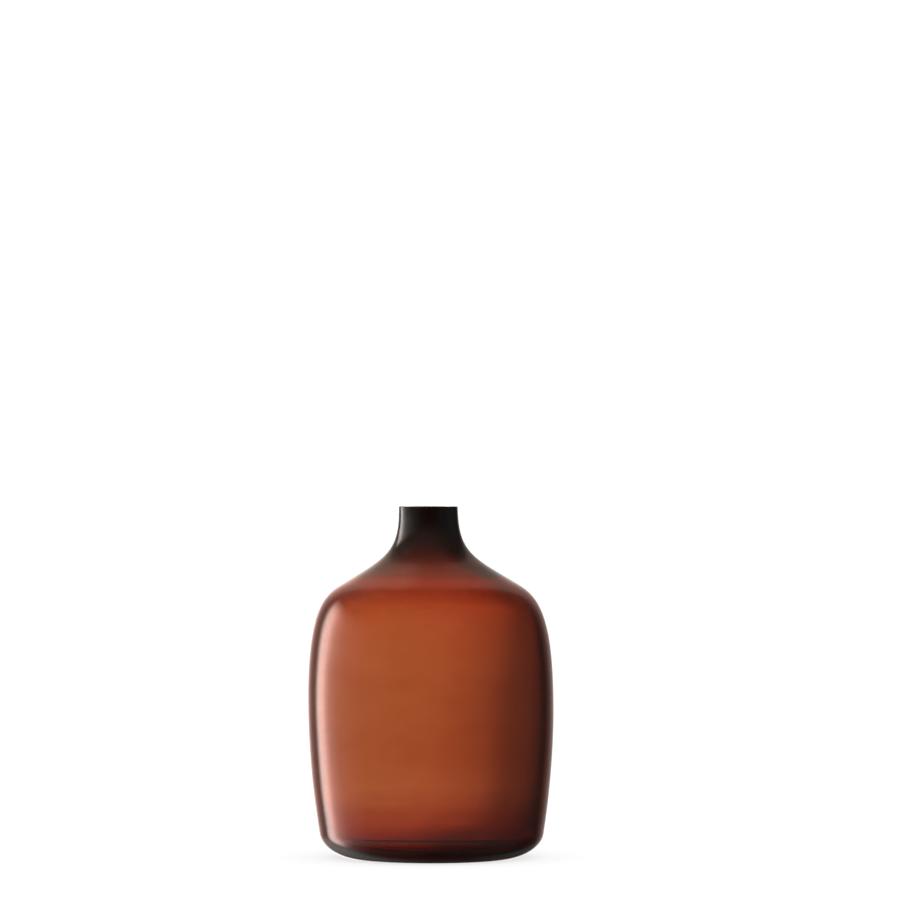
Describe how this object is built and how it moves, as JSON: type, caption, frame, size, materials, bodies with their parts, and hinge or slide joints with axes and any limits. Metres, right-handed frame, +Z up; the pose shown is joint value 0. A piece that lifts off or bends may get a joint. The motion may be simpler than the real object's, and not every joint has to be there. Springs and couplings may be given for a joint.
{
  "type": "glass bud vase",
  "caption": "Squat mouth-blown bottle vase in amber cased glass, with a narrow dark neck that holds one stem or a small spray and a heavy dark base.",
  "frame": {"origin": "centre of the foot, on the surface the vase stands on", "axes": "+Z up along the vase's axis of revolution, through the mouth; +X and +Y in the plane of the foot"},
  "size_m": [0.1296, 0.1296, 0.185],
  "materials": {
    "amber_casing_glass": "clear amber glass, fire-polished, with a ground and polished lip",
    "lining_glass": "clear red-brown glass, smooth blown inner surface",
    "dark_collar_glass": "thick brown glass that reads as nearly black, fire-polished",
    "dark_pad_glass": "thick dark red-brown glass, polished"
  },
  "bodies": {
    "root": {"neck_casing": "amber_casing_glass", "shoulder_casing": "amber_casing_glass", "body_casing": "amber_casing_glass", "foot_casing": "amber_casing_glass", "neck_collar": "dark_collar_glass", "colour_lining": "lining_glass", "base_pad": "dark_pad_glass"}
  },
  "joints": []
}
